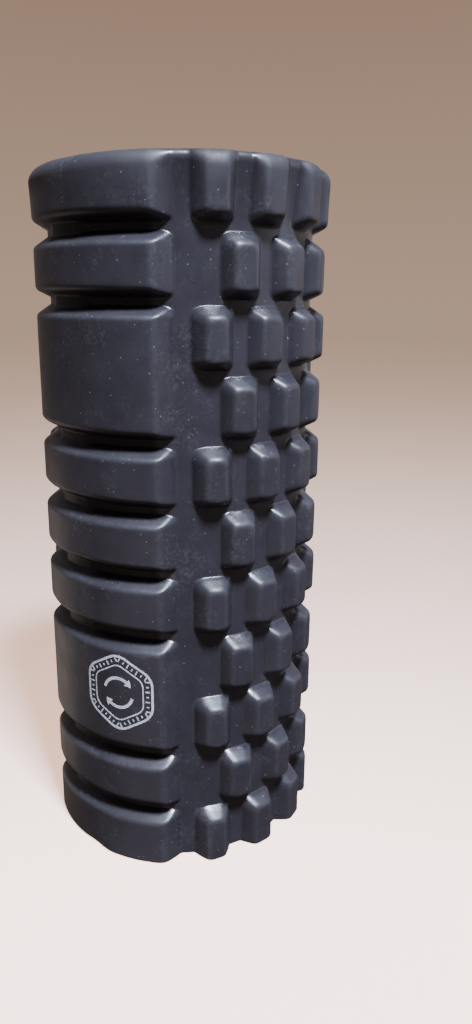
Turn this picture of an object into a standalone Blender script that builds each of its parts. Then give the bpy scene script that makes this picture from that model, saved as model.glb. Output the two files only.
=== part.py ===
"""Foam roller: a hollow plastic core wrapped in two moulded foam half-sheets.

Metres, +Z up. The roller stands on one end, with its axis on +Z and its origin at the
centre of the lower end. Angles about the axis start at the front, -Y, and grow towards +X.

A half-sheet is modelled flat, as it leaves its mould, and is then wrapped around the core.
On the flat sheet x runs around the roller, measured along the channel floor, y runs up the
roller and z is the height above the channel floor.
"""

import math

import bmesh
import bpy
from mathutils import Matrix

MM = 0.001

# Roller
LENGTH = 330 * MM
FACE_RADIUS = 70 * MM
RELIEF_DEPTH = 7 * MM
FOAM_BASE = 9 * MM
CHANNEL_RADIUS = FACE_RADIUS - RELIEF_DEPTH
FIT_GAP = 0.3 * MM

# Core tube and the adhesive that holds the foam on it
ADHESIVE_THICKNESS = 0.4 * MM
TUBE_WALL = 4 * MM
TUBE_CHAMFER = 0.6 * MM
TUBE_RECESS = 1 * MM
ADHESIVE_MARGIN = 4 * MM
FOAM_BORE_RADIUS = CHANNEL_RADIUS - FOAM_BASE
ADHESIVE_RADIUS = FOAM_BORE_RADIUS - FIT_GAP
TUBE_RADIUS = ADHESIVE_RADIUS - ADHESIVE_THICKNESS - FIT_GAP

# Half-sheets and the seams between them
SHEET_CENTRES = {"foam_sheet_front": math.radians(47), "foam_sheet_back": math.radians(227)}
SEAM_ANGLES = {"seam_glue_left": math.radians(-43), "seam_glue_right": math.radians(137)}
SEAM_GLUE_THICKNESS = 0.4 * MM
SEAM_HALF_GAP = SEAM_GLUE_THICKNESS / 2 + FIT_GAP
SHEET_HALF_WIDTH = math.pi / 2 * CHANNEL_RADIUS - SEAM_HALF_GAP
OVERSHOOT = 3 * MM

# Rows of relief: full cells in the middle and a shorter one at each end
CELL_PITCH = 30.6 * MM
CELL_COUNT = 11
END_CELL = (LENGTH - (CELL_COUNT - 2) * CELL_PITCH) / 2

# Crests: above the shoulder the walls lean in further, by the inset, to ease the edge of the face
SHOULDER_HEIGHT = 6.2 * MM
CREST_INSET = 1.0 * MM

# Blocks. An edge is how far a foot line stays from the groove line. Pairs are (lower, upper).
# The outer run is that of the walls of the outermost blocks that face the bars
COLUMN_ANGLE = math.radians(11.5)
COLUMN_COUNT = 7
BLOCK_HALF_WIDTH = 9.5 * MM
BLOCK_SIDE_RUN = 4.8 * MM
OUTER_SIDE_RUN = 6.2 * MM
BLOCK_EDGES = (3.6 * MM, 0.4 * MM)
BLOCK_RUNS = (3.4 * MM, 5.3 * MM)

# Bars: each pair holds the first and last cell that a bar covers
BAR_CELLS = ((0, 0), (1, 1), (2, 3), (4, 4), (5, 5), (6, 6), (7, 8), (9, 9), (10, 10))
BAR_EDGES = (3.2 * MM, 0.7 * MM)
BAR_RUNS = (3.4 * MM, 5.1 * MM)
BAR_END_ANGLE = math.radians(49.5)
BAR_END_RUN = 8 * MM

# Printed mark on the lower wide pad: a thin rounded hexagonal frame
MARK_ANGLE = math.radians(-26.5)
MARK_HEIGHT = 91.4 * MM
MARK_RADIUS = 21 * MM
MARK_LINE = 1.2 * MM
MARK_CORNER = 5 * MM
MARK_THICKNESS = 0.2 * MM
MARK_SIDES = 6
MARK_CORNER_SEGMENTS = 4

# Facets
FACET_ANGLE = math.radians(5)
FACETS_ROUND = 72
ROOT_DEPTH = 1.5 * MM
SHARP_ANGLE = math.radians(25)


def clear_scene():
    """Remove every object that is already in the scene."""
    for obj in list(bpy.data.objects):
        bpy.data.objects.remove(obj, do_unlink=True)


def new_collection(name):
    """Add a collection to the scene."""
    collection = bpy.data.collections.new(name)
    bpy.context.scene.collection.children.link(collection)
    return collection


def new_material(name, colour, roughness, metallic=0.0):
    """Make a Principled BSDF material."""
    material = bpy.data.materials.new(name)
    material.use_nodes = True
    shader = material.node_tree.nodes["Principled BSDF"]
    shader.inputs["Base Color"].default_value = (*colour, 1.0)
    shader.inputs["Roughness"].default_value = roughness
    shader.inputs["Metallic"].default_value = metallic
    material.diffuse_color = (*colour, 1.0)
    return material


def foam_material():
    """Dull charcoal EVA foam."""
    return new_material("charcoal_foam", (0.033, 0.034, 0.041), 0.62)


def core_material():
    """Black moulded plastic of the tube."""
    return new_material("black_plastic", (0.012, 0.012, 0.013), 0.42)


def adhesive_material():
    """Cured amber contact adhesive."""
    return new_material("contact_adhesive", (0.35, 0.22, 0.08), 0.35)


def ink_material():
    """Pale grey printing ink."""
    return new_material("pale_ink", (0.58, 0.58, 0.64), 0.5)


def add_object(name, mesh, collection, material=None):
    """Put a mesh in a collection as a named object."""
    obj = bpy.data.objects.new(name, mesh)
    collection.objects.link(obj)
    if material:
        mesh.materials.append(material)
    return obj


def add_cutter(name, mesh, collection):
    """Add an object that only shapes others."""
    cutter = add_object(name, mesh, collection)
    cutter.hide_render = True
    cutter.display_type = "WIRE"
    return cutter


def mesh_from(bm, name):
    """Turn a bmesh into a mesh and free it."""
    mesh = bpy.data.meshes.new(name)
    bm.to_mesh(mesh)
    bm.free()
    return mesh


def add_boolean(obj, operation, other):
    """Combine an object with another by an exact Boolean modifier."""
    modifier = obj.modifiers.new(other.name, "BOOLEAN")
    modifier.operation = operation
    modifier.solver = "EXACT"
    modifier.object = other


def evaluated_mesh(obj):
    """The mesh of an object with its modifiers applied."""
    bpy.context.view_layer.update()
    graph = bpy.context.evaluated_depsgraph_get()
    return bpy.data.meshes.new_from_object(obj.evaluated_get(graph))


def box(bm, low, high):
    """Add a box between two corners."""
    centre = [(a + b) / 2 for a, b in zip(low, high)]
    size = [b - a for a, b in zip(low, high)]
    place = Matrix.Translation(centre) @ Matrix.Diagonal((*size, 1.0))
    bmesh.ops.create_cube(bm, size=1.0, matrix=place)


def tapered_block(bm, x_span, y_span, x_runs, y_runs):
    """Add a block of relief whose footprint on the channel floor is x_span by y_span.

    Each wall leans in by its run over the relief's depth, and is carried down into
    the sheet at the same slope. A wall with no run stands upright.
    """
    rings = []
    for height, ease in ((-ROOT_DEPTH, 0.0), (SHOULDER_HEIGHT, 0.0), (RELIEF_DEPTH, CREST_INSET)):
        low_x, high_x, low_y, high_y = (
            run * height / RELIEF_DEPTH + ease if run else 0.0 for run in (*x_runs, *y_runs)
        )
        left, right = x_span[0] + low_x, x_span[1] - high_x
        bottom, top = y_span[0] + low_y, y_span[1] - high_y
        corners = ((left, bottom), (right, bottom), (right, top), (left, top))
        rings.append([bm.verts.new((*corner, height)) for corner in corners])
    bm.faces.new(reversed(rings[0]))
    bm.faces.new(rings[-1])
    for lower, upper in zip(rings, rings[1:]):
        for i in range(4):
            j = (i + 1) % 4
            bm.faces.new((lower[i], lower[j], upper[j], upper[i]))


def groove_line(index):
    """Height of the groove line below cell number index."""
    return END_CELL + (index - 1) * CELL_PITCH


def row_span(first_cell, last_cell, edges, runs):
    """Height span, and wall runs, of relief that covers some cells.

    At the roller's ends the relief has no wall: it runs past the end and is trimmed flush.
    """
    low, low_run = groove_line(first_cell) + edges[0], runs[0]
    high, high_run = groove_line(last_cell + 1) - edges[1], runs[1]
    if first_cell == 0:
        low, low_run = -OVERSHOOT, 0.0
    if last_cell == CELL_COUNT - 1:
        high, high_run = LENGTH + OVERSHOOT, 0.0
    return (low, high), (low_run, high_run)


def block_field(first_column):
    """Every second column of blocks. Odd and even columns fill alternate cells."""
    bm = bmesh.new()
    for column in range(first_column, COLUMN_COUNT, 2):
        centre = (column - COLUMN_COUNT // 2) * COLUMN_ANGLE * CHANNEL_RADIUS
        x_span = (centre - BLOCK_HALF_WIDTH, centre + BLOCK_HALF_WIDTH)
        left_run = OUTER_SIDE_RUN if column == 0 else BLOCK_SIDE_RUN
        right_run = OUTER_SIDE_RUN if column == COLUMN_COUNT - 1 else BLOCK_SIDE_RUN
        for cell in range(first_column, CELL_COUNT, 2):
            y_span, y_runs = row_span(cell, cell, BLOCK_EDGES, BLOCK_RUNS)
            tapered_block(bm, x_span, y_span, (left_run, right_run), y_runs)
    return mesh_from(bm, "block_field")


def bar_field(side):
    """The bar stubs along one edge of the sheet. side is -1 or 1."""
    bm = bmesh.new()
    foot = BAR_END_ANGLE * CHANNEL_RADIUS
    rim = SHEET_HALF_WIDTH + OVERSHOOT
    for first_cell, last_cell in BAR_CELLS:
        y_span, y_runs = row_span(first_cell, last_cell, BAR_EDGES, BAR_RUNS)
        if side > 0:
            tapered_block(bm, (foot, rim), y_span, (BAR_END_RUN, 0.0), y_runs)
        else:
            tapered_block(bm, (-rim, -foot), y_span, (0.0, BAR_END_RUN), y_runs)
    return mesh_from(bm, "bar_field")


def flat_sheet(cutters):
    """A half-sheet as moulded: a flat slab with its blocks and bars, trimmed to size."""
    rim = SHEET_HALF_WIDTH + OVERSHOOT
    bm = bmesh.new()
    box(bm, (-rim, -OVERSHOOT, -FOAM_BASE), (rim, LENGTH + OVERSHOOT, 0.0))
    slab = add_cutter("flat_slab", mesh_from(bm, "flat_slab"), cutters)

    relief = {
        "odd_blocks": block_field(0),
        "even_blocks": block_field(1),
        "left_bars": bar_field(-1),
        "right_bars": bar_field(1),
    }
    for name, mesh in relief.items():
        add_boolean(slab, "UNION", add_cutter(name, mesh, cutters))

    bm = bmesh.new()
    box(
        bm,
        (-SHEET_HALF_WIDTH, 0.0, -FOAM_BASE - OVERSHOOT),
        (SHEET_HALF_WIDTH, LENGTH, RELIEF_DEPTH + OVERSHOOT),
    )
    add_boolean(slab, "INTERSECT", add_cutter("sheet_trim", mesh_from(bm, "sheet_trim"), cutters))
    return evaluated_mesh(slab)


def wrapped(flat_mesh, centre_angle, name):
    """Wrap a flat mesh around the roller's axis, cut into flat facets on the way."""
    bm = bmesh.new()
    bm.from_mesh(flat_mesh)
    facet = FACET_ANGLE * CHANNEL_RADIUS
    first = math.ceil(min(v.co.x for v in bm.verts) / facet)
    last = math.floor(max(v.co.x for v in bm.verts) / facet)
    for index in range(first, last + 1):
        geometry = bm.verts[:] + bm.edges[:] + bm.faces[:]
        bmesh.ops.bisect_plane(
            bm, geom=geometry, dist=1e-7, plane_co=(index * facet, 0, 0), plane_no=(1, 0, 0)
        )
    bmesh.ops.triangulate(bm, faces=bm.faces[:])
    for vertex in bm.verts:
        angle = centre_angle + vertex.co.x / CHANNEL_RADIUS
        radius = CHANNEL_RADIUS + vertex.co.z
        vertex.co = (radius * math.sin(angle), -radius * math.cos(angle), vertex.co.y)
    mesh = mesh_from(bm, name)
    mesh.shade_smooth()
    mesh.set_sharp_from_angle(angle=SHARP_ANGLE)
    return mesh


def add_turned(name, profile, collection, material):
    """Turn a closed profile of (radius, height) points about Z with a Screw modifier."""
    bm = bmesh.new()
    points = [bm.verts.new((radius, 0.0, height)) for radius, height in profile]
    for index, point in enumerate(points):
        bm.edges.new((point, points[(index + 1) % len(points)]))
    obj = add_object(name, mesh_from(bm, name), collection, material)
    screw = obj.modifiers.new("turn", "SCREW")
    screw.steps = FACETS_ROUND
    screw.render_steps = FACETS_ROUND
    screw.use_merge_vertices = True
    screw.merge_threshold = 0.00001
    screw.use_smooth_shade = True
    return obj


def add_core_tube(collection):
    """Stiff hollow tube, a little shorter than the foam, with chamfered rims."""
    low, high = TUBE_RECESS, LENGTH - TUBE_RECESS
    outer, inner = TUBE_RADIUS, TUBE_RADIUS - TUBE_WALL
    cut = TUBE_CHAMFER
    profile = [
        (outer - cut, high),
        (outer, high - cut),
        (outer, low + cut),
        (outer - cut, low),
        (inner + cut, low),
        (inner, low + cut),
        (inner, high - cut),
        (inner + cut, high),
    ]
    add_turned("core_tube", profile, collection, core_material())


def add_adhesive_film(collection, material):
    """Thin layer of adhesive between the tube and the foam."""
    low, high = ADHESIVE_MARGIN, LENGTH - ADHESIVE_MARGIN
    outer, inner = ADHESIVE_RADIUS, ADHESIVE_RADIUS - ADHESIVE_THICKNESS
    profile = [(outer, high), (outer, low), (inner, low), (inner, high)]
    add_turned("adhesive_film", profile, collection, material)


def add_seam_glue(name, angle, collection, material):
    """Glue line between the edges of the two half-sheets, below the channel floor."""
    half = SEAM_GLUE_THICKNESS / 2
    bm = bmesh.new()
    box(
        bm,
        (-half, -CHANNEL_RADIUS + FIT_GAP, ADHESIVE_MARGIN),
        (half, -FOAM_BORE_RADIUS - FIT_GAP, LENGTH - ADHESIVE_MARGIN),
    )
    seam = add_object(name, mesh_from(bm, name), collection, material)
    seam.rotation_euler.z = angle


def hexagon_plate(radius, corner, low, high):
    """An upright hexagonal plate with rounded corners, on the flat sheet."""
    bm = bmesh.new()
    bmesh.ops.create_cone(
        bm,
        cap_ends=True,
        segments=MARK_SIDES,
        radius1=radius,
        radius2=radius,
        depth=high - low,
        matrix=Matrix.Translation((0.0, MARK_HEIGHT, (low + high) / 2)),
    )
    upright = [edge for edge in bm.edges if abs(edge.verts[0].co.z - edge.verts[1].co.z) > 0]
    bmesh.ops.bevel(
        bm, geom=upright, offset=corner, segments=MARK_CORNER_SEGMENTS, profile=0.5, affect="EDGES"
    )
    return mesh_from(bm, "hexagon_plate")


def add_printed_mark(collection, cutters):
    """Hexagonal frame of ink, curved to lie just above the pad."""
    low = RELIEF_DEPTH + FIT_GAP
    high = low + MARK_THICKNESS
    inner_corner = MARK_CORNER - MARK_LINE / 2
    plate = add_cutter("mark_plate", hexagon_plate(MARK_RADIUS, MARK_CORNER, low, high), cutters)
    hole_mesh = hexagon_plate(MARK_RADIUS - MARK_LINE, inner_corner, low - FIT_GAP, high + FIT_GAP)
    add_boolean(plate, "DIFFERENCE", add_cutter("mark_hole", hole_mesh, cutters))
    mesh = wrapped(evaluated_mesh(plate), MARK_ANGLE, "printed_mark")
    add_object("printed_mark", mesh, collection, ink_material())


def build():
    """Build the roller."""
    clear_scene()
    roller = new_collection("foam_roller")
    cutters = new_collection("cutters")
    foam = foam_material()
    adhesive = adhesive_material()

    add_core_tube(roller)
    add_adhesive_film(roller, adhesive)
    sheet = flat_sheet(cutters)
    for name, centre_angle in SHEET_CENTRES.items():
        add_object(name, wrapped(sheet, centre_angle, name), roller, foam)
    for name, angle in SEAM_ANGLES.items():
        add_seam_glue(name, angle, roller, adhesive)
    add_printed_mark(roller, cutters)


build()
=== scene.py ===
"""Looks of the foam roller: its moulded foam relief, core, glue and printed mark, in a small studio.

Angles about the roller's axis start at the front, -Y, and grow towards +X. On a half-sheet,
x is the length along its channel floor, counted from the sheet's centre line.
"""

import math

import bpy
import numpy as np
from mathutils import Matrix, Vector, noise


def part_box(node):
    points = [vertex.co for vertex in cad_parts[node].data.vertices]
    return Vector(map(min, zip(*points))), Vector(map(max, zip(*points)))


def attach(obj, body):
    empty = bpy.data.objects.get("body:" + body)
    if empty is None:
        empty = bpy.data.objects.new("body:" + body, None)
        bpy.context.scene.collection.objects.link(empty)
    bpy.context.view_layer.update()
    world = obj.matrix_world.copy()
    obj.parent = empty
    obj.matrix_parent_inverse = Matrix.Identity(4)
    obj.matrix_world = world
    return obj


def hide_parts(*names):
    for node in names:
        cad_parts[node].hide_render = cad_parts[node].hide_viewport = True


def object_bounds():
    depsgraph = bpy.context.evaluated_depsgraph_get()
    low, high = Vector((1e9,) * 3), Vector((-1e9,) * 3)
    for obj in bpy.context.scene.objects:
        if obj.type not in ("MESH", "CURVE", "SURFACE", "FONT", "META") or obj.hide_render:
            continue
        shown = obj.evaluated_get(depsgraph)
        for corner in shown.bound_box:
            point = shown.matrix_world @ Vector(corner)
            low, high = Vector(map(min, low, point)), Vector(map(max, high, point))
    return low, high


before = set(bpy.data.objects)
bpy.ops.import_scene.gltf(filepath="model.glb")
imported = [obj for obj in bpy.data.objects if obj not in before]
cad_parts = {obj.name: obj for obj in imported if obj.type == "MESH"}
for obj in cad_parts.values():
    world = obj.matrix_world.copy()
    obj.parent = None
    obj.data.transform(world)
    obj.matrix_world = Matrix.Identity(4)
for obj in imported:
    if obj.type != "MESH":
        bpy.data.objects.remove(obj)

MM = 0.001
CAD_BOUNDS = [list(corner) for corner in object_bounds()]


def node_radii(node):
    """Least and greatest distance of a CAD node's corners from the roller's axis."""
    corners = np.array([vertex.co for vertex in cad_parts[node].data.vertices])
    distance = np.hypot(corners[:, 0], corners[:, 1])
    return distance.min(), distance.max()


def node_place(node):
    """Angle about the axis, and height, of the centre of a CAD node's box."""
    low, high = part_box(node)
    centre = (low + high) / 2
    return math.atan2(centre.x, -centre.y), centre.z


# Sizes from the frame. The foam's visible skin swells a little over them
LENGTH = CAD_BOUNDS[1][2] - CAD_BOUNDS[0][2]
FOAM_SWELL = 0.5 * MM
FACE_RADIUS = node_radii("foam_sheet_front")[1] + FOAM_SWELL
TUBE_INNER, TUBE_OUTER = node_radii("core_tube")
TUBE_LOW, TUBE_HIGH = (corner.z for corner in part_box("core_tube"))
SEAM_LEFT_ANGLE = node_place("seam_glue_left")[0]
FRONT_CENTRE = SEAM_LEFT_ANGLE + math.pi / 2
BACK_CENTRE = FRONT_CENTRE + math.pi

# Relief of the foam
RELIEF_DEPTH = 7 * MM
CHANNEL_RADIUS = FACE_RADIUS - RELIEF_DEPTH
CELL_COUNT = 11
CELL_PITCH = 30.6 * MM
END_CELL = (LENGTH - (CELL_COUNT - 2) * CELL_PITCH) / 2
COLUMN_COUNT = 7
COLUMN_ANGLE = math.radians(11.5)
BLOCK_HALF_WIDTH = 9.5 * MM
BLOCK_SIDE_RUN = 4.8 * MM
OUTER_SIDE_RUN = 6.5 * MM
BLOCK_TOP_SETBACK = 0.4 * MM
BLOCK_TOP_RUN = 4.9 * MM
BLOCK_BOTTOM_SETBACK = 2.2 * MM
BLOCK_BOTTOM_RUN = 3.4 * MM
BAR_CELLS = ((0, 0), (1, 1), (2, 3), (4, 4), (5, 5), (6, 6), (7, 8), (9, 9), (10, 10))
BAR_TOP_SETBACK = 0.7 * MM
BAR_TOP_RUN = 5.1 * MM
BAR_BOTTOM_SETBACK = 2.5 * MM
BAR_BOTTOM_RUN = 3.4 * MM
BAR_FOOT = math.radians(49.0) * CHANNEL_RADIUS
BAR_END_RUN = 7.2 * MM
BAR_TIP_RADIUS = 7.5 * MM
BAR_CORNER_POWER = 3.0
CREST_RADIUS = 3.3 * MM
FOOT_BLEND = 0.5 * MM
FOOT_CORNER = 6.0 * MM
CREST_CORNER = 3.5 * MM

# Ends and seams of a half-sheet
CHANNEL_TOP_ROUND = 4.2 * MM
CREST_TOP_ROUND = 6.8 * MM
BOTTOM_ROUND = 1.2 * MM
SEAM_ROUND = 0.08 * MM
SKIN_GAP = 0.02 * MM
POCKET_GAP = 0.3 * MM
POCKET_RADIUS = CHANNEL_RADIUS - 2 * MM
GLUE_FIT = 0.1 * MM
GLUE_THICKNESS = 0.3 * MM
SEAM_X = math.pi / 2 * CHANNEL_RADIUS
SKIN_HALF_WIDTH = SEAM_X - SKIN_GAP
VISIBLE_BORE = TUBE_OUTER + GLUE_THICKNESS + 2 * GLUE_FIT
WEB_START = math.radians(64) * CHANNEL_RADIUS
WEB_FULL = math.radians(74) * CHANNEL_RADIUS
WEB_HEIGHT = 1.8 * MM
WEB_BLEND = 1.4 * MM
WEB_FADE = 11.0 * MM
CREST_TOP_FLARE = 1.2 * MM
CHANNEL_TOP_FLARE = 4.5 * MM
CREST_BOTTOM_FLARE = 1.9 * MM
CHANNEL_BOTTOM_FLARE = 0.7 * MM
BULGE_RISE = 14 * MM
BULGE_FULL = -46 * MM
BULGE_END = -30 * MM
SEAM_FLAT = 0.35 * MM
SEAM_FLAT_WIDTH = 7 * MM
WOBBLE = 0.10 * MM
WOBBLE_SLOW = 38.0
WOBBLE_FAST = 120.0

# How the two sheets are laid on the tube: a little twisted and stretched, the top cut not quite square
TWIST_LOW = math.radians(0.35)
TWIST = math.radians(-1.5)
SLACK = 0.25 * MM
TOP_SAG = 1.3 * MM
TOP_SAG_START = LENGTH - 90 * MM
TOP_CELL_START = LENGTH - 28 * MM
TOP_LIFT = 0.95 * MM
TOP_TILT = 1.5 * MM
TOP_TILT_ANGLE = math.radians(80)

# Grid spacing
FOOT_Z = 0.22 * MM
FINE_Z = 0.68 * MM
COARSE_Z = 3.0 * MM
FINE_X = 0.70 * MM
COARSE_X = 2.0 * MM
COARSE_X_RAMP = 4 * MM
GROOVE_REACH = 8.5 * MM
FOOT_MIDDLE = -0.5 * MM
FOOT_REACH = 1.1 * MM
SEAM_STEP = 0.07 * MM
SEAM_REACH = 0.5 * MM
SPACING_SAMPLES = 20001
END_TURN = math.radians(5)
END_STEP = 0.03 * MM
BORE_STEPS = 90
FOAM_SHARP_ANGLE = math.radians(50)


def smooth_min(a, b, blend):
    """The lesser of a and b, rounded where they are within blend of each other."""
    share = np.clip(0.5 + 0.5 * (b - a) / blend, 0.0, 1.0)
    return b + (a - b) * share - blend * share * (1.0 - share)


def smooth_max(a, b, blend):
    """The greater of a and b, rounded where they are within blend of each other."""
    return -smooth_min(-a, -b, blend)


def smooth_step(value, start, stop):
    """0 before start, 1 after stop, and a smooth rise between."""
    share = np.clip((value - start) / (stop - start), 0.0, 1.0)
    return share * share * (3.0 - 2.0 * share)


def between(low, high, share):
    """The value a share of the way from low to high."""
    return low + (high - low) * share


def graded(start, stop, spacing):
    """Grid lines from start to stop, as far apart at each place as spacing says."""
    samples = np.linspace(start, stop, SPACING_SAMPLES)
    middles = (samples[1:] + samples[:-1]) / 2
    count = np.concatenate([[0.0], np.cumsum(np.diff(samples) / spacing(middles))])
    lines = int(math.ceil(count[-1]))
    return np.interp(np.linspace(0.0, count[-1], lines + 1), count, samples)


def groove_line(index):
    """Height of the groove line below cell number index."""
    return END_CELL + (index - 1) * CELL_PITCH


def from_ends(z, first_cell, last_cell, low_setback, high_setback):
    """Distances inside the lower and upper foot lines of relief that covers some cells.

    At the roller's ends the relief has no foot and runs out flush.
    """
    above = np.full_like(z, LENGTH)
    below = np.full_like(z, LENGTH)
    if first_cell > 0:
        above = z - groove_line(first_cell) - low_setback
    if last_cell < CELL_COUNT - 1:
        below = groove_line(last_cell + 1) - high_setback - z
    return above, below


def crest_profile(distance, run, radius=CREST_RADIUS):
    """Height of relief at a distance inside its foot line: a straight wall with a round crest.

    run is how far the wall would lean in over the whole depth of the relief.
    """
    lean = math.atan2(RELIEF_DEPTH, run)
    tangent = radius * math.tan(lean / 2)
    back = np.clip(run + tangent - distance, 0.0, radius)
    crest = RELIEF_DEPTH - radius + np.sqrt(radius**2 - back**2)
    wall = distance * RELIEF_DEPTH / run
    return np.where(distance < run - tangent * math.cos(lean), wall, crest)


def block_heights(x, z):
    """The height of each block, one after another. Its upper wall leans most, its lower wall least."""
    for column in range(COLUMN_COUNT):
        centre = (column - COLUMN_COUNT // 2) * COLUMN_ANGLE * CHANNEL_RADIUS
        left_run = OUTER_SIDE_RUN if column == 0 else BLOCK_SIDE_RUN
        right_run = OUTER_SIDE_RUN if column == COLUMN_COUNT - 1 else BLOCK_SIDE_RUN
        from_sides = np.minimum(
            (BLOCK_HALF_WIDTH + x - centre) * BLOCK_SIDE_RUN / left_run,
            (BLOCK_HALF_WIDTH - x + centre) * BLOCK_SIDE_RUN / right_run,
        )
        for cell in range(column % 2, CELL_COUNT, 2):
            above, below = from_ends(z, cell, cell, BLOCK_BOTTOM_SETBACK, BLOCK_TOP_SETBACK)
            above = above * BLOCK_SIDE_RUN / BLOCK_BOTTOM_RUN
            below = below * BLOCK_SIDE_RUN / BLOCK_TOP_RUN
            from_rows = np.minimum(above, below)
            up_wall = np.clip(np.minimum(from_sides, from_rows) / BLOCK_SIDE_RUN, 0.0, 1.0)
            corner = between(FOOT_CORNER, CREST_CORNER, up_wall)
            yield crest_profile(smooth_min(from_sides, from_rows, corner), BLOCK_SIDE_RUN)


def bar_heights(x, z):
    """The height of each bar, on both sides of the sheet at once."""
    tip_drop = RELIEF_DEPTH - crest_profile(np.abs(x) - BAR_FOOT, BAR_END_RUN, BAR_TIP_RADIUS)
    for first_cell, last_cell in BAR_CELLS:
        above, below = from_ends(z, first_cell, last_cell, BAR_BOTTOM_SETBACK, BAR_TOP_SETBACK)
        height = np.minimum(crest_profile(above, BAR_BOTTOM_RUN), crest_profile(below, BAR_TOP_RUN))
        drops = tip_drop**BAR_CORNER_POWER + (RELIEF_DEPTH - height) ** BAR_CORNER_POWER
        yield RELIEF_DEPTH - drops ** (1 / BAR_CORNER_POWER)


def relief(x, z):
    """Height of the relief above the channel floor, with the low webs at both edges of a sheet."""
    height = np.zeros(np.broadcast(x, z).shape)
    for heights in (block_heights(x, z), bar_heights(x, z)):
        for raised in heights:
            height = smooth_max(height, raised, FOOT_BLEND)
    web = np.maximum(smooth_step(x, WEB_START, WEB_FULL), smooth_step(-x, SEAM_X - WEB_FADE, SEAM_X))
    return smooth_max(height, (WEB_HEIGHT + WEB_BLEND) * web - WEB_BLEND, WEB_BLEND)


def rounding(distance, radius):
    """How far a rounded edge drops back at a distance from it."""
    inward = np.clip(1.0 - distance / radius, 0.0, 1.0)
    return radius * (1.0 - np.sqrt(1.0 - inward**2))


def outer_radius(x, z):
    """Radius of the moulded skin, with the share of the full relief at each point."""
    height = relief(x, z)
    share = np.clip(height / RELIEF_DEPTH, 0.0, 1.0)
    radius = CHANNEL_RADIUS + height
    from_seam = SKIN_HALF_WIDTH - np.abs(x)
    radius = radius - SEAM_FLAT * np.exp(-((from_seam / SEAM_FLAT_WIDTH) ** 2))
    near_top = np.clip((z - groove_line(CELL_COUNT - 1)) / END_CELL, 0.0, 1.0)
    near_bottom = np.clip(1.0 - z / END_CELL, 0.0, 1.0)
    bulge = smooth_step(x, -SEAM_X, -SEAM_X + BULGE_RISE) * (1.0 - smooth_step(x, BULGE_FULL, BULGE_END))
    radius = radius + between(CHANNEL_TOP_FLARE, CREST_TOP_FLARE, share) * near_top**2
    radius = radius + between(CHANNEL_BOTTOM_FLARE, CREST_BOTTOM_FLARE, share) * bulge * near_bottom**2
    radius = radius - rounding(from_seam, SEAM_ROUND)
    radius = radius - rounding(LENGTH - z, between(CHANNEL_TOP_ROUND, CREST_TOP_ROUND, share))
    return radius - rounding(z, BOTTOM_ROUND), share


def around(angle, radius, height):
    """Points at some angles about the axis."""
    angle, radius, height = np.broadcast_arrays(angle, radius, height)
    return np.stack([radius * np.sin(angle), -radius * np.cos(angle), height], axis=-1)


def wobble(points):
    """How far foam laid by hand is out of true at each point."""
    flat = points.reshape(-1, 3)
    slow = [noise.noise(Vector(point) * WOBBLE_SLOW) for point in flat]
    fast = [noise.noise(Vector(point) * WOBBLE_FAST) for point in flat]
    return WOBBLE * (np.array(slow) + 0.4 * np.array(fast)).reshape(points.shape[:-1])


def skin_points(x, z, centre_angle, lift=0.0):
    """Points on the moulded skin of a half-sheet, or a little above it, with their relief share."""
    radius, share = outer_radius(x, z)
    angle = centre_angle + x / CHANNEL_RADIUS
    radius = radius + wobble(around(angle, radius, z)) + lift
    return around(angle, radius, z), share


def x_spacing(x):
    """Grid spacing around a half-sheet: fine by its seams and over the block field."""
    from_seam = SEAM_X - np.abs(x)
    bar_crest = BAR_FOOT + BAR_END_RUN
    spacing = between(FINE_X, COARSE_X, smooth_step(np.abs(x), bar_crest, bar_crest + COARSE_X_RAMP))
    return np.where(from_seam < SEAM_REACH, SEAM_STEP, spacing)


def z_spacing(z):
    """Grid spacing up the roller: fine by its ends and over every groove, finest where walls end."""
    past_groove = (z - END_CELL + CELL_PITCH / 2) % CELL_PITCH - CELL_PITCH / 2
    spacing = np.where(np.abs(past_groove) < GROOVE_REACH, FINE_Z, COARSE_Z)
    spacing = np.where(np.abs(past_groove - FOOT_MIDDLE) < FOOT_REACH, FOOT_Z, spacing)
    for distance, radius in ((z, BOTTOM_ROUND), (LENGTH - z, CREST_TOP_ROUND)):
        level = np.clip(1.0 - distance / radius, 0.0, 1.0)
        turn = END_STEP + END_TURN * radius * np.sqrt(1.0 - level**2)
        spacing = np.where(level > 0.0, np.minimum(spacing, turn), spacing)
    return spacing


def grid_faces(rows, columns, first=0):
    """Quads of a grid of points, facing out when columns run with the angle and rows run up."""
    index = first + np.arange(rows * columns).reshape(rows, columns)
    corners = (index[:-1, :-1], index[:-1, 1:], index[1:, 1:], index[1:, :-1])
    return np.stack([corner.ravel() for corner in corners], axis=1).tolist()


def new_object(name, points, faces, smooth=True):
    """A mesh object from points and faces."""
    mesh = bpy.data.meshes.new(name)
    mesh.from_pydata(np.asarray(points).tolist(), [], faces)
    mesh.update()
    if smooth:
        mesh.shade_smooth()
    obj = bpy.data.objects.new(name, mesh)
    bpy.context.scene.collection.objects.link(obj)
    return obj


def seam_side(first, rows, columns, edge_column, bore_low, bore_high, flip):
    """Faces that close one seam side: the skin's lip, the glue pocket's roof and its wall.

    first is the index of the lip's first point: lip points, then pocket points, in rows.
    """
    lip = [first + row for row in range(rows)]
    pocket = [first + rows + row for row in range(rows)]
    edge = [row * columns + edge_column for row in range(rows)]
    faces = []
    for outer, inner in ((edge, lip), (lip, pocket)):
        faces += [[outer[i], inner[i], inner[i + 1], outer[i + 1]] for i in range(rows - 1)]
    faces.append([pocket[0], bore_low, bore_high] + pocket[:0:-1])
    return [face[::-1] for face in faces] if flip else faces


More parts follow.
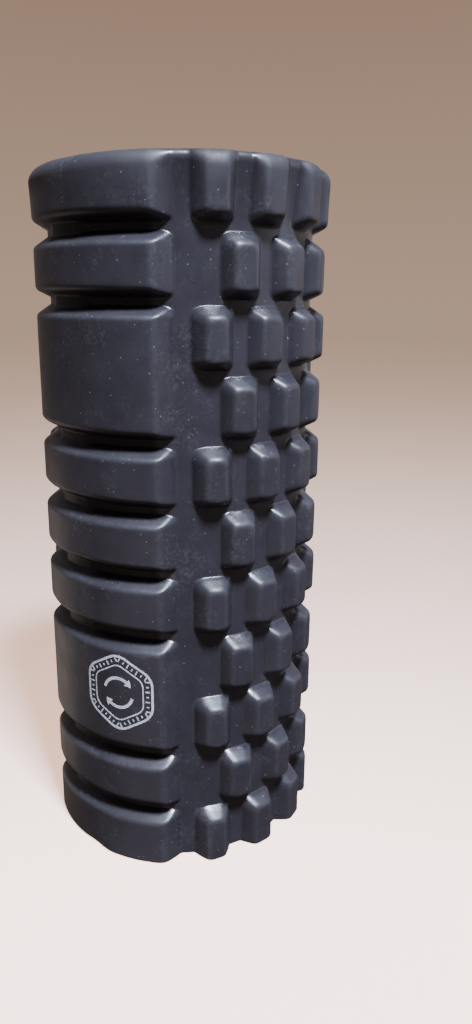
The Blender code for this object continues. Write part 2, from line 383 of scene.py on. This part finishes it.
def twisted(points):
    """Turn points about the axis by as much as the sheets are twisted at their height."""
    turn = TWIST_LOW + TWIST * points[..., 2] / LENGTH
    x, y = points[..., 0], points[..., 1]
    across = x * np.cos(turn) - y * np.sin(turn)
    along = x * np.sin(turn) + y * np.cos(turn)
    return np.stack([across, along, points[..., 2]], axis=-1)


def laid(points):
    """Move points of the foam as hand-laid sheets sit on the tube.

    The rows near the top sag, and the top cell is stretched from there up to its skewed cut.
    """
    points = twisted(points)
    z = points[..., 2]
    toward = points[..., 0] * math.sin(TOP_TILT_ANGLE) - points[..., 1] * math.cos(TOP_TILT_ANGLE)
    lift = TOP_SAG + TOP_LIFT + TOP_TILT * toward / FACE_RADIUS
    rise = SLACK * (1.0 - np.cos(2 * math.pi * z / LENGTH))
    rise = rise - TOP_SAG * smooth_step(z, TOP_SAG_START, TOP_CELL_START)
    rise = rise + lift * smooth_step(z, TOP_CELL_START, LENGTH)
    points[..., 2] = z + rise
    return points


def skin_masks(x, z, share):
    """Where the skin's look changes, from 0 to 1 at each point, for the foam's material.

    share is the share of the full relief at each point. It grows upwards on lower walls.
    """
    by_bars = smooth_step(np.abs(x), BAR_FOOT + BAR_END_RUN, BAR_FOOT + 1.5 * BAR_END_RUN)
    in_field = 1.0 - by_bars
    lower_wall = smooth_step(np.diff(share, axis=0, append=share[-1:]), 0.0, 0.02)
    near_crest = smooth_step(share, 0.70, 0.92) * (1.0 - smooth_step(share, 0.96, 1.0))
    near_foot = smooth_step(share, 0.01, 0.05) * (1.0 - smooth_step(share, 0.15, 0.40))
    near_rim = smooth_step(z, LENGTH - 14 * MM, LENGTH - 6 * MM)
    return {
        # Crest colour is rubbed wear and a painted highlight, so it is left off lower walls, which face
        # down into shade.
        "crest": near_crest * (1.0 - lower_wall),
        "foot": near_foot * in_field,
        "deep": (1.0 - smooth_step(share, 0.10, 0.60)) * in_field,
        # Painted shade: the grooves between the bars, and the walls that face down into them
        "groove": (1.0 - smooth_step(share - 0.5 * lower_wall, 0.25, 0.60)) * by_bars,
        "rim": near_rim * smooth_step(share, 0.3, 0.8),
    }


def foam_half(name, centre_angle):
    """One moulded half-sheet as a closed solid: relief outside, bore inside, flush ends."""
    x = graded(-SKIN_HALF_WIDTH, SKIN_HALF_WIDTH, x_spacing)[None, :]
    z = graded(0.0, LENGTH, z_spacing)[:, None]
    rows, columns = z.size, x.size
    skin, share = skin_points(x, z, centre_angle)
    points = [skin.reshape(-1, 3)]
    faces = grid_faces(rows, columns)
    count = rows * columns

    half_turn = (SEAM_X - POCKET_GAP) / CHANNEL_RADIUS
    bore_angles = centre_angle + np.linspace(-half_turn, half_turn, BORE_STEPS + 1)
    bore = around(bore_angles[None, :], VISIBLE_BORE, np.array([[0.0], [LENGTH]]))
    points.append(bore.reshape(-1, 3))
    bore_low = list(range(count, count + BORE_STEPS + 1))
    bore_high = [index + BORE_STEPS + 1 for index in bore_low]
    faces += [face[::-1] for face in grid_faces(2, BORE_STEPS + 1, count)]
    count += 2 * (BORE_STEPS + 1)

    rims = {}
    for side, edge_column, corner in ((1, columns - 1, -1), (-1, 0, 0)):
        rims[side] = (count, count + rows)
        for gap in (SKIN_GAP, POCKET_GAP):
            turn = centre_angle + side * (SEAM_X - gap) / CHANNEL_RADIUS
            points.append(around(turn, POCKET_RADIUS, z[:, 0]))
        low, high = bore_low[corner], bore_high[corner]
        faces += seam_side(count, rows, columns, edge_column, low, high, flip=side < 0)
        count += 2 * rows

    for row, bore_rim, flip in ((0, bore_low, True), (rows - 1, bore_high, False)):
        cap = [row * columns + column for column in range(columns)]
        cap += [rims[1][0] + row, rims[1][1] + row] + bore_rim[::-1]
        cap += [rims[-1][1] + row, rims[-1][0] + row]
        faces.append(cap[::-1] if flip else cap)

    obj = new_object(name, laid(np.concatenate(points)), faces)
    mesh = obj.data
    mesh.set_sharp_from_angle(angle=FOAM_SHARP_ANGLE)
    for mask, values in skin_masks(x, z, share).items():
        values = np.pad(values.ravel(), (0, count - values.size)).astype(np.float32)
        mesh.attributes.new(mask, "FLOAT", "POINT").data.foreach_set("value", values)
    return obj


# Core tube and glue
ROUND_STEPS = 288
TUBE_ROUND = 0.8 * MM
ROUND_POINTS = 5
GLUE_SHORT = 0.8 * MM
GLUE_WAVE = 0.6 * MM
SEAM_GLUE_STEPS = 120
RING_SHARP_ANGLE = math.radians(60)


def turned(name, profile, raised=None):
    """Turn a closed profile of (radius, height) points, its outer side first, top to bottom.

    raised gives the height added at an angle, for a profile point's own height.
    """
    profile = np.array(profile)
    angle = np.linspace(0, 2 * math.pi, ROUND_STEPS, endpoint=False)[:, None]
    radius, height = profile[None, :, 0], profile[None, :, 1]
    if raised is not None:
        height = height + raised(angle, height)
    points = around(angle, radius, height).reshape(-1, 3)
    size = len(profile)
    faces = []
    for step in range(ROUND_STEPS):
        here, there = step * size, (step + 1) % ROUND_STEPS * size
        for i in range(size):
            j = (i + 1) % size
            faces.append([here + i, here + j, there + j, there + i])
    obj = new_object(name, points, faces)
    obj.data.set_sharp_from_angle(angle=RING_SHARP_ANGLE)
    return obj


def rounded_ring(inner, outer, low, high, radius):
    """Profile of a ring with rounded rims: down its outer side, then up its inner side."""
    corners = (
        (outer - radius, high - radius, 90),
        (outer - radius, low + radius, 0),
        (inner + radius, low + radius, -90),
        (inner + radius, high - radius, -180),
    )
    profile = []
    for centre_r, centre_z, start in corners:
        for turn in np.radians(np.linspace(start, start - 90, ROUND_POINTS)):
            profile.append((centre_r + radius * math.cos(turn), centre_z + radius * math.sin(turn)))
    return profile


def glue_wave(angle, height):
    """Uneven rims of brushed-on glue: out or in from the middle of the roller."""
    wave = np.sin(5 * angle) + 0.6 * np.sin(13 * angle + 1.0) + 0.4 * np.sin(31 * angle + 2.0)
    return GLUE_WAVE / 2 * wave * np.sign(height - LENGTH / 2)


def core_tube():
    """Stiff tube with softly rounded rims."""
    return turned("core_tube_shell", rounded_ring(TUBE_INNER, TUBE_OUTER, TUBE_LOW, TUBE_HIGH, TUBE_ROUND))


def adhesive_sleeve():
    """Glue between the tube and the foam, with uneven rims that show at both ends."""
    inner = TUBE_OUTER + GLUE_FIT
    outer = inner + GLUE_THICKNESS
    low, high = TUBE_LOW + GLUE_SHORT, TUBE_HIGH - GLUE_SHORT
    profile = rounded_ring(inner, outer, low, high, GLUE_THICKNESS / 3)
    return turned("adhesive_sleeve", profile, glue_wave)


def seam_glue(name, angle):
    """Thin wavy sheet of glue in the pocket between the two half-sheets."""
    height = np.linspace(TUBE_LOW + GLUE_SHORT, TUBE_HIGH - GLUE_SHORT, SEAM_GLUE_STEPS)
    outer = POCKET_RADIUS - 2 * GLUE_FIT - GLUE_WAVE * (0.5 + 0.5 * np.sin(height / (6 * MM)))
    inner = np.full_like(height, VISIBLE_BORE + 2 * GLUE_FIT)
    half = GLUE_THICKNESS / 2 / CHANNEL_RADIUS
    loop = [(outer, -half), (outer, half), (inner, half), (inner, -half)]
    points = np.stack([around(angle + turn, radius, height) for radius, turn in loop], axis=1)
    faces = [[0, 3, 2, 1]]
    for step in range(SEAM_GLUE_STEPS - 1):
        here, there = 4 * step, 4 * (step + 1)
        for i in range(4):
            j = (i + 1) % 4
            faces.append([here + i, here + j, there + j, there + i])
    last = 4 * (SEAM_GLUE_STEPS - 1)
    faces.append([last, last + 1, last + 2, last + 3])
    return new_object(name, twisted(points.reshape(-1, 3)), faces, smooth=False)


# Printed mark: a hexagonal frame with ticks and two arrows that turn one after the other
MARK_ANGLE, MARK_HEIGHT = node_place("printed_mark")
MARK_LOW, MARK_HIGH = (corner.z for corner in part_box("printed_mark"))
MARK_TIP = (MARK_HIGH - MARK_LOW) / 2
MARK_CORNER = 8.7 * MM
FRAME_LINE = 1.1 * MM
INNER_TIP = 14.2 * MM
INNER_CORNER = 5.5 * MM
INNER_LINE = 0.6 * MM
TICK_LINE = 0.6 * MM
TICKS_PER_SIDE = 7
TICK_MIDDLE = 15.3 * MM
TICK_SPREAD = 15.6 * MM
TICK_SHORT = 1.2 * MM
TICK_LONG = 2.2 * MM
ARROW_RADIUS = 7.6 * MM
ARROW_LINE = 1.5 * MM
ARROW_SWEEP = math.radians(112)
ARROW_STARTS = (math.radians(165), math.radians(-15))
ARROW_HEAD = 2.8 * MM
ARROW_HEAD_LENGTH = 1.15 * ARROW_HEAD
ARROW_HEAD_HALF_WIDTH = 0.8 * ARROW_HEAD
ARROW_TIP_HALF_WIDTH = 0.05 * MM
ARROW_HEAD_STEPS = 5
CORNER_STEPS = 9
INK_THICKNESS = 0.12 * MM
INK_SINK = 0.05 * MM
INK_STEP = 0.7 * MM


def on_pad(u, v, lift):
    """Points of the mark's own flat coordinates, laid on the foam's skin."""
    x = (MARK_ANGLE - FRONT_CENTRE + np.asarray(u) / FACE_RADIUS) * CHANNEL_RADIUS
    return laid(skin_points(x, MARK_HEIGHT + np.asarray(v), FRONT_CENTRE, lift)[0])


def extruded(outline, first):
    """Points and faces of a thin plate of ink, from the left and right rails of its outline.

    outline is (left, right, closed). The two rails are arrays of matching (u, v) points.
    """
    left, right, closed = outline
    count = len(left)
    top, base = INK_THICKNESS - INK_SINK, -INK_SINK
    loop = ((left, top), (right, top), (right, base), (left, base))
    points = np.stack([on_pad(rail[:, 0], rail[:, 1], lift) for rail, lift in loop], axis=1)
    faces = []
    for step in range(count if closed else count - 1):
        here, there = first + 4 * step, first + 4 * ((step + 1) % count)
        for i in range(4):
            j = (i + 1) % 4
            faces.append([here + i, here + j, there + j, there + i])
    if not closed:
        last = first + 4 * (count - 1)
        faces += [[first + 3, first + 2, first + 1, first], [last, last + 1, last + 2, last + 3]]
    return points.reshape(-1, 3), faces


def line_rails(path, width, closed):
    """Rails either side of a path."""
    if closed:
        ahead, behind = np.roll(path, -1, axis=0), np.roll(path, 1, axis=0)
    else:
        ahead = np.concatenate([path[1:], path[-1:]])
        behind = np.concatenate([path[:1], path[:-1]])
    along = ahead - behind
    along /= np.linalg.norm(along, axis=1)[:, None]
    across = np.stack([-along[:, 1], along[:, 0]], axis=1) * width / 2
    return path + across, path - across, closed


def arc(radius, start, stop):
    """Points along an arc about the mark's centre."""
    steps = max(3, int(radius * abs(stop - start) / INK_STEP))
    turn = np.linspace(start, stop, steps + 1)
    return radius * np.stack([np.cos(turn), np.sin(turn)], axis=1)


def rounded_hexagon(tip, corner):
    """Closed outline of a hexagon that stands on a corner, its corners rounded."""
    half = math.pi / 6
    centre = tip - corner
    path = []
    for side in range(6):
        middle = math.pi / 2 + side * 2 * half
        for turn in np.linspace(middle - half, middle + half, CORNER_STEPS):
            path.append((
                centre * math.cos(middle) + corner * math.cos(turn),
                centre * math.sin(middle) + corner * math.sin(turn),
            ))
    return np.array(path)


def arrow_outlines(start):
    """A curved arrow that runs clockwise from an angle: its shaft and its head."""
    stop = start - ARROW_SWEEP
    shaft = line_rails(arc(ARROW_RADIUS, start, stop), ARROW_LINE, closed=False)
    turns = np.linspace(stop, stop - ARROW_HEAD_LENGTH / ARROW_RADIUS, ARROW_HEAD_STEPS)
    ray = np.stack([np.cos(turns), np.sin(turns)], axis=1)
    half = np.linspace(ARROW_HEAD_HALF_WIDTH, ARROW_TIP_HALF_WIDTH, ARROW_HEAD_STEPS)[:, None]
    return shaft, ((ARROW_RADIUS + half) * ray, (ARROW_RADIUS - half) * ray, False)


def denser(path):
    """A closed path with points added on its long stretches."""
    result = []
    for here, there in zip(path, np.roll(path, -1, axis=0)):
        steps = max(1, int(round(np.linalg.norm(there - here) / INK_STEP)))
        result += [here + (there - here) * step / steps for step in range(steps)]
    return np.array(result)


def printed_mark():
    """All the ink of the mark as one piece: two hexagons with ticks between them, and two arrows."""
    frame_path = denser(rounded_hexagon(MARK_TIP - FRAME_LINE / 2, MARK_CORNER))
    inner_path = denser(rounded_hexagon(INNER_TIP, INNER_CORNER))
    outlines = [
        line_rails(frame_path, FRAME_LINE, closed=True),
        line_rails(inner_path, INNER_LINE, closed=True),
    ]
    for side in range(6):
        turn = side * math.pi / 3
        outward = np.array([math.cos(turn), math.sin(turn)])
        along = np.array([-outward[1], outward[0]])
        for tick in range(TICKS_PER_SIDE):
            shift = TICK_SPREAD * (tick / (TICKS_PER_SIDE - 1) - 0.5)
            length = TICK_SHORT if tick % 2 else TICK_LONG
            reach = TICK_MIDDLE + np.linspace(-length / 2, length / 2, 3)[:, None]
            outlines.append(line_rails(reach * outward + shift * along, TICK_LINE, closed=False))
    for start in ARROW_STARTS:
        outlines += arrow_outlines(start)
    points, faces = [], []
    first = 0
    for outline in outlines:
        new_points, new_faces = extruded(outline, first)
        points.append(new_points)
        faces += new_faces
        first += len(new_points)
    return new_object("printed_mark_ink", np.concatenate(points), faces, smooth=False)


# Materials
FOAM_DARK = (0.0200, 0.0184, 0.0246)
FOAM_LIGHT = (0.0265, 0.0246, 0.0321)
FOAM_PORES = (0.0168, 0.0158, 0.0214)
# Crests: lighter from rubbing, and a painted highlight
CREST_WEAR_AND_HIGHLIGHT = (0.052, 0.053, 0.062)
# Painted shade for the grooves between the bars
GROOVE_PAINTED_SHADE = (0.012, 0.010, 0.010)
SMUDGE_COLOUR = (0.085, 0.083, 0.088)
DUST_COLOUR = (0.17, 0.17, 0.18)
LINT_COLOUR = (0.24, 0.24, 0.25)
CORE_DARK = (0.010, 0.010, 0.011)
CORE_LIGHT = (0.017, 0.017, 0.018)
CORE_SCUFF = (0.06, 0.06, 0.062)
GLUE_DARK = (0.27, 0.16, 0.055)
GLUE_LIGHT = (0.43, 0.29, 0.12)
INK_DARK = (0.50, 0.51, 0.58)
INK_LIGHT = (0.62, 0.63, 0.70)
INK_WORN = (0.08, 0.08, 0.095)
GRAIN_SCALE = 2600.0
MASKS = ("crest", "foot", "deep", "groove", "rim")


def add_node(tree, kind, inputs=None, **settings):
    """Add a shader node. An input takes a value or another node's output socket."""
    node = tree.nodes.new(kind)
    for name, value in settings.items():
        setattr(node, name, value)
    for name, value in (inputs or {}).items():
        if isinstance(value, bpy.types.NodeSocket):
            tree.links.new(value, node.inputs[name])
        else:
            node.inputs[name].default_value = value
    return node


def start_material(name):
    """A new node material with its tree, its shader and the object's coordinates in metres."""
    material = bpy.data.materials.new(name)
    material.use_nodes = True
    tree = material.node_tree
    place = add_node(tree, "ShaderNodeTexCoord").outputs["Object"]
    return material, tree, tree.nodes["Principled BSDF"], place


def noise_at(tree, place, scale, detail=2.0, roughness=0.5):
    """Noise value with features about 1/scale metres wide."""
    inputs = {"Vector": place, "Scale": scale, "Detail": detail, "Roughness": roughness}
    return add_node(tree, "ShaderNodeTexNoise", inputs).outputs["Fac"]


def remap(tree, value, from_low, from_high, to_low=0.0, to_high=1.0):
    """A value moved from one range to another, and held inside it."""
    names = ("Value", "From Min", "From Max", "To Min", "To Max")
    inputs = dict(zip(names, (value, from_low, from_high, to_low, to_high)))
    return add_node(tree, "ShaderNodeMapRange", inputs).outputs["Result"]


def calculate(tree, operation, a, b=0.0):
    """One arithmetic step."""
    node = add_node(tree, "ShaderNodeMath", operation=operation)
    for socket, value in zip(node.inputs, (a, b)):
        if isinstance(value, bpy.types.NodeSocket):
            tree.links.new(value, socket)
        else:
            socket.default_value = value
    return node.outputs[0]


def times(tree, a, b):
    """The product of two values."""
    return calculate(tree, "MULTIPLY", a, b)


def mask_of(tree, name):
    """One of the foam skin's masks."""
    return add_node(tree, "ShaderNodeAttribute", attribute_name=name).outputs["Fac"]


def mix_colours(tree, share, a, b):
    """Blend two colours, each a socket or (r, g, b)."""
    node = add_node(tree, "ShaderNodeMix", data_type="RGBA")
    sockets = [node.inputs[0], node.inputs[6], node.inputs[7]]
    for socket, value in zip(sockets, (share, a, b)):
        if isinstance(value, bpy.types.NodeSocket):
            tree.links.new(value, socket)
        elif socket is node.inputs[0]:
            socket.default_value = value
        else:
            socket.default_value = (*value, 1.0)
    return node.outputs[2]


def bump(tree, height, distance, strength=1.0, under=None):
    """A bump of some height in metres, on top of another."""
    inputs = {"Height": height, "Distance": distance, "Strength": strength}
    if under is not None:
        inputs["Normal"] = under
    return add_node(tree, "ShaderNodeBump", inputs).outputs["Normal"]


def specks(tree, place, scale, size, share):
    """Sparse round specks: one possible speck in each cell, kept in a share of the cells."""
    inputs = {"Vector": place, "Scale": scale}
    cells = add_node(tree, "ShaderNodeTexVoronoi", inputs)
    spot = remap(tree, cells.outputs["Distance"], size, size * 0.5)
    pick = add_node(tree, "ShaderNodeSeparateColor", {"Color": cells.outputs["Color"]}).outputs[0]
    kept = calculate(tree, "LESS_THAN", pick, share)
    return calculate(tree, "MULTIPLY", spot, kept)


def foam_material():
    """Dull charcoal closed-cell foam: fine grain, faint mottling, smudges and dust, crests lighter from
    rubbing and a painted highlight, and painted shade in the grooves between the bars.
    """
    material, tree, shader, place = start_material("charcoal_foam_skin")
    mottle = noise_at(tree, place, 45.0, 4.0, 0.6)
    grain = noise_at(tree, place, GRAIN_SCALE, 3.0, 0.6)
    cloud = noise_at(tree, place, 420.0, 3.0)
    crest, foot, deep, groove, rim = (mask_of(tree, name) for name in MASKS)
    smudge = remap(tree, noise_at(tree, place, 55.0, 6.0, 0.75), 0.50, 0.70, 0.0, 0.45)
    broken_up = remap(tree, noise_at(tree, place, 700.0, 3.0), 0.45, 0.65)
    layers = (
        (remap(tree, cloud, 0.35, 0.75, 0.0, 0.35), FOAM_PORES),
        # Lighter crests: rubbed wear and a painted highlight, kept off crests that face down
        (times(tree, crest, remap(tree, cloud, 0.40, 0.62, 0.05, 0.30)), CREST_WEAR_AND_HIGHLIGHT),
        (times(tree, smudge, broken_up), SMUDGE_COLOUR),
        (times(tree, specks(tree, place, 150.0, 0.070, 0.50), 0.60), DUST_COLOUR),
        (times(tree, specks(tree, place, 420.0, 0.13, 0.22), 0.70), LINT_COLOUR),
        # Painted shade: the grooves between the bars made darker
        (times(tree, groove, 0.5), GROOVE_PAINTED_SHADE),
    )
    colour = mix_colours(tree, remap(tree, mottle, 0.3, 0.7), FOAM_DARK, FOAM_LIGHT)
    for share, layer_colour in layers:
        colour = mix_colours(tree, share, colour, layer_colour)
    tree.links.new(colour, shader.inputs["Base Color"])
    # Painted shade: weaker reflection in the same grooves
    tree.links.new(remap(tree, groove, 0.0, 1.0, 0.5, 0.2), shader.inputs["Specular IOR Level"])

    rough = remap(tree, noise_at(tree, place, 90.0, 3.0), 0.3, 0.7, 0.37, 0.46)
    for mask, change in ((foot, -0.10), (deep, -0.07), (crest, 0.03), (rim, 0.20)):
        rough = calculate(tree, "ADD", rough, times(tree, mask, change))
    rough = calculate(tree, "ADD", rough, remap(tree, grain, 0.3, 0.7, -0.04, 0.04))
    tree.links.new(rough, shader.inputs["Roughness"])

    cells = add_node(tree, "ShaderNodeTexVoronoi", {"Vector": place, "Scale": 1700.0})
    normal = bump(tree, cloud, 0.00005, 0.6)
    normal = bump(tree, cells.outputs["Distance"], 0.00003, 0.5, normal)
    normal = bump(tree, grain, 0.00004, 0.6, normal)
    tree.links.new(normal, shader.inputs["Normal"])
    return material


def core_material():
    """Black extruded plastic: fine draw lines along the tube, scuffs and a satin skin."""
    material, tree, shader, place = start_material("black_core_plastic")
    drawn = add_node(tree, "ShaderNodeMapping", {"Vector": place, "Scale": (1.0, 1.0, 0.03)})
    lines = noise_at(tree, drawn.outputs["Vector"], 900.0, 3.0, 0.6)
    scuff = remap(tree, noise_at(tree, place, 130.0, 5.0, 0.7), 0.55, 0.70)
    colour = mix_colours(tree, remap(tree, lines, 0.35, 0.65), CORE_DARK, CORE_LIGHT)
    colour = mix_colours(tree, times(tree, scuff, 0.25), colour, CORE_SCUFF)
    tree.links.new(colour, shader.inputs["Base Color"])
    tree.links.new(remap(tree, lines, 0.3, 0.7, 0.32, 0.46), shader.inputs["Roughness"])
    normal = bump(tree, lines, 0.00004, 0.6)
    normal = bump(tree, scuff, 0.00001, 0.5, normal)
    tree.links.new(normal, shader.inputs["Normal"])
    return material


def glue_material():
    """Cured amber contact adhesive, a little cloudy and uneven."""
    material, tree, shader, place = start_material("amber_adhesive")
    cloud = noise_at(tree, place, 260.0, 4.0, 0.6)
    colour = mix_colours(tree, remap(tree, cloud, 0.3, 0.7), GLUE_DARK, GLUE_LIGHT)
    tree.links.new(colour, shader.inputs["Base Color"])
    tree.links.new(remap(tree, cloud, 0.3, 0.7, 0.25, 0.45), shader.inputs["Roughness"])
    tree.links.new(bump(tree, cloud, 0.0001, 0.7), shader.inputs["Normal"])
    return material


def ink_material():
    """Pale ink that is thin in places, so that a little foam shows through."""
    material, tree, shader, place = start_material("pale_print_ink")
    worn = remap(tree, noise_at(tree, place, 900.0, 4.0, 0.65), 0.52, 0.72, 0.0, 0.55)
    cloud = noise_at(tree, place, 150.0, 3.0)
    colour = mix_colours(tree, remap(tree, cloud, 0.3, 0.7), INK_DARK, INK_LIGHT)
    colour = mix_colours(tree, worn, colour, INK_WORN)
    tree.links.new(colour, shader.inputs["Base Color"])
    tree.links.new(remap(tree, cloud, 0.3, 0.7, 0.45, 0.6), shader.inputs["Roughness"])
    grain = noise_at(tree, place, GRAIN_SCALE, 3.0, 0.6)
    tree.links.new(bump(tree, grain, 0.00003, 0.5), shader.inputs["Normal"])
    return material


# Studio
CAMERA_DISTANCE = 0.3942
CAMERA_HEIGHT = 0.2733
CAMERA_YAW = math.radians(4.12)
CAMERA_PITCH = math.radians(15.510)
CAMERA_ROLL = math.radians(0.749)
CAMERA_LENS = 26.77
SENSOR_HEIGHT = 36.0
FLOOR_SIZE = 12.0
FLOOR_COLOUR = (0.94, 0.74, 0.65)
FLOOR_GLOW = (1.75, 1.06, 0.78)
FLOOR_ROUGHNESS = 0.85
HORIZON_COLOUR = (0.49, 0.34, 0.25)
TOP_COLOUR = (0.345, 0.225, 0.16)
ABOVE_LIGHT = (0.22, 0.20, 0.21)
FRONT_LIGHT = (0.17, 0.14, 0.135)
BACK_LIGHT = (0.62, 0.53, 0.50)
BELOW_LIGHT = (0.16, 0.125, 0.115)
COOL_LIGHT = (0.78, 0.85, 1.0)

# Name, azimuth and elevation in degrees, distance and size in metres, power in watts, colour
LIGHTS = (
    ("key_light", 24, 60, 1.9, 0.32, 154.0, COOL_LIGHT),
    ("side_light", 85, 20, 1.6, 0.9, 3.6, COOL_LIGHT),
    ("bounce_light", -116, -26, 0.47, 0.30, 0.20, (1.0, 0.86, 0.80)),
    ("carpet_light", -30, -28, 0.36, 0.25, 0.08, (1.0, 0.82, 0.70)),
)


def floor_material():
    """Pale warm studio paper that melts into the backdrop's colour where it is seen at a slant."""
    material, tree, shader, place = start_material("pale_floor")
    cloud = noise_at(tree, place, 6.0, 2.0)
    colour = mix_colours(tree, cloud, FLOOR_COLOUR, tuple(1.05 * value for value in FLOOR_COLOUR))
    tree.links.new(colour, shader.inputs["Base Color"])
    shader.inputs["Roughness"].default_value = FLOOR_ROUGHNESS
    shader.inputs["Emission Color"].default_value = (*FLOOR_GLOW, 1.0)
    shader.inputs["Emission Strength"].default_value = 1.0
    far = add_node(tree, "ShaderNodeEmission", {"Color": (*HORIZON_COLOUR, 1.0)}).outputs[0]
    towards_eye = add_node(tree, "ShaderNodeNewGeometry").outputs["Incoming"]
    steepness = add_node(tree, "ShaderNodeSeparateXYZ", {"Vector": towards_eye}).outputs["Z"]
    share = remap(tree, calculate(tree, "POWER", steepness, 1.3), 0.54, 0.015)
    blend = add_node(tree, "ShaderNodeMixShader", {0: share, 1: shader.outputs[0], 2: far})
    tree.links.new(blend.outputs[0], tree.nodes["Material Output"].inputs["Surface"])
    return material


def backdrop_world():
    """Plain backdrop for the camera. Everything else gets soft light, strongest from behind.

    The limits on up are sines of the elevation.
    """
    world = bpy.data.worlds.new("pale_room")
    world.use_nodes = True
    tree = world.node_tree
    direction = add_node(tree, "ShaderNodeTexCoord").outputs["Generated"]
    axes = add_node(tree, "ShaderNodeSeparateXYZ", {"Vector": direction}).outputs
    behind = calculate(tree, "ADD", times(tree, axes["Y"], 0.7), axes["X"])
    up = axes["Z"]
    seen = mix_colours(tree, remap(tree, up, 0.0, 0.35), HORIZON_COLOUR, TOP_COLOUR)
    level = mix_colours(tree, remap(tree, behind, -0.7, 1.6), FRONT_LIGHT, BACK_LIGHT)
    light = mix_colours(tree, remap(tree, up, -0.35, -0.05), BELOW_LIGHT, level)
    light = mix_colours(tree, remap(tree, up, 0.05, 0.40), light, ABOVE_LIGHT)
    to_camera = add_node(tree, "ShaderNodeLightPath").outputs["Is Camera Ray"]
    colour = mix_colours(tree, to_camera, light, seen)
    tree.links.new(colour, tree.nodes["Background"].inputs["Color"])
    bpy.context.scene.world = world


def add_camera():
    """A wide phone-like lens close to the roller, looking down at it from near its top."""
    camera = bpy.data.cameras.new("camera")
    camera.sensor_fit = "VERTICAL"
    camera.sensor_height = SENSOR_HEIGHT
    camera.lens = CAMERA_LENS
    camera.clip_start = 0.01
    obj = bpy.data.objects.new("camera", camera)
    bpy.context.scene.collection.objects.link(obj)
    forward = Vector((
        math.sin(CAMERA_YAW) * math.cos(CAMERA_PITCH),
        math.cos(CAMERA_YAW) * math.cos(CAMERA_PITCH),
        -math.sin(CAMERA_PITCH),
    ))
    right = Vector((math.cos(CAMERA_YAW), -math.sin(CAMERA_YAW), 0.0))
    up = right.cross(forward)
    turned_right = math.cos(CAMERA_ROLL) * right + math.sin(CAMERA_ROLL) * up
    turned_up = math.cos(CAMERA_ROLL) * up - math.sin(CAMERA_ROLL) * right
    axes = Matrix((turned_right, turned_up, -forward)).transposed().to_4x4()
    obj.matrix_world = Matrix.Translation((0.0, -CAMERA_DISTANCE, CAMERA_HEIGHT)) @ axes
    bpy.context.scene.camera = obj


def add_light(name, azimuth, elevation, distance, size, power, colour):
    """A square soft light aimed at the middle of the roller. Azimuth grows from -Y to +X."""
    light = bpy.data.lights.new(name, "AREA")
    light.shape = "SQUARE"
    light.size = size
    light.energy = power
    light.color = colour
    obj = bpy.data.objects.new(name, light)
    bpy.context.scene.collection.objects.link(obj)
    turn, lift = math.radians(azimuth), math.radians(elevation)
    offset = Vector((
        math.sin(turn) * math.cos(lift), -math.cos(turn) * math.cos(lift), math.sin(lift),
    ))
    obj.location = Vector((0.0, 0.0, LENGTH / 2)) + offset * distance
    obj.rotation_euler = offset.to_track_quat("Z", "Y").to_euler()


def add_studio():
    """Pale floor, pale surroundings and soft lights."""
    half = FLOOR_SIZE / 2
    corners = [(-half, -half, 0.0), (half, -half, 0.0), (half, half, 0.0), (-half, half, 0.0)]
    floor = new_object("floor", corners, [[0, 1, 2, 3]], smooth=False)
    floor.data.materials.append(floor_material())
    floor.visible_diffuse = False
    floor.visible_glossy = False
    floor.visible_shadow = False
    backdrop_world()
    for light in LIGHTS:
        add_light(*light)


def finish_piece(obj, material, slot, *nodes):
    """Give a piece its material, and let it stand for its CAD nodes on the roller's body."""
    obj.data.materials.append(material)
    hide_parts(*nodes)
    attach(obj, "root")


def build():
    """Build every visible piece of the roller, then the studio round it."""
    foam = foam_material()
    glue = glue_material()
    finish_piece(foam_half("foam_half_front", FRONT_CENTRE), foam, "charcoal_foam", "foam_sheet_front")
    finish_piece(foam_half("foam_half_back", BACK_CENTRE), foam, "charcoal_foam", "foam_sheet_back")
    finish_piece(core_tube(), core_material(), "black_plastic", "core_tube")
    finish_piece(adhesive_sleeve(), glue, "contact_adhesive", "adhesive_film")
    for side in ("left", "right"):
        node = f"seam_glue_{side}"
        strip = seam_glue(f"seam_glue_{side}_strip", node_place(node)[0])
        finish_piece(strip, glue, "contact_adhesive", node)
    finish_piece(printed_mark(), ink_material(), "pale_ink", "printed_mark")
    add_studio()
    add_camera()


build()
